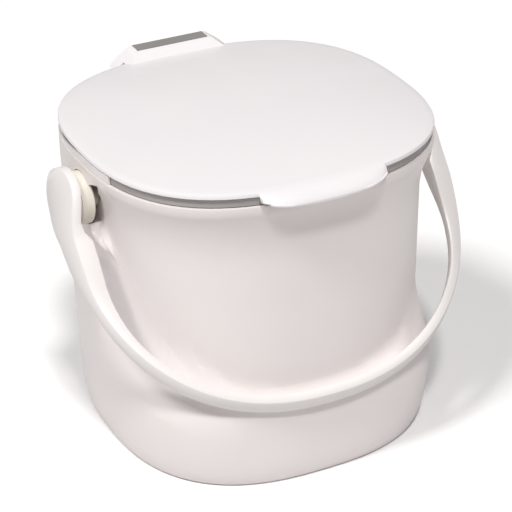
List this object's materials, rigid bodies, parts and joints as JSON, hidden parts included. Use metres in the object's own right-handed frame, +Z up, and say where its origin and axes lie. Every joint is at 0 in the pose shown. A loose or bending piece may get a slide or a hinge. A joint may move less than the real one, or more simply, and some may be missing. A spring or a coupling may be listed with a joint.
{
  "type": "compost caddy",
  "caption": "Countertop compost caddy: squared-round bucket with a scooped front, folding bail handle and a domed lid hinged at the back.",
  "frame": {"origin": "middle of the bucket's foot, on the surface it stands on, midway between the outside faces of the two handle plates in X", "axes": "+Z up, -Y towards the front with the finger tab and the resting handle, +X to the right seen from the front"},
  "size_m": [0.203, 0.1818, 0.1636],
  "materials": {
    "white_shell": "satin white moulded plastic",
    "white_handle": "satin white moulded plastic",
    "white_lid": "satin white moulded plastic",
    "cream_bush": "natural plastic",
    "grey_liner": "satin grey plastic",
    "grey_seal": "soft grey elastomer",
    "steel_pin": "drawn stainless steel"
  },
  "bodies": {
    "bin": {"bucket": "white_shell", "hinge_pin": "steel_pin"},
    "handle": {"handle_bail": "white_handle", "left_spacer_bush": "cream_bush", "right_spacer_bush": "cream_bush", "left_pivot_stud": "steel_pin", "right_pivot_stud": "steel_pin"},
    "lid": {"lid_shell": "white_lid", "lid_liner": "grey_liner", "lid_seal": "grey_seal", "hinge_knuckle": "grey_liner"}
  },
  "joints": [
    {"name": "handle_swing", "type": "hinge", "parent": "bin", "child": "handle", "pos_m": [0, 0, 0.1322], "axis": [-1, 0, 0], "range_deg": [0, 265]},
    {"name": "lid_hinge", "type": "hinge", "parent": "bin", "child": "lid", "pos_m": [0, 0.086, 0.156], "axis": [-1, 0, 0], "range_deg": [0, 100]}
  ]
}
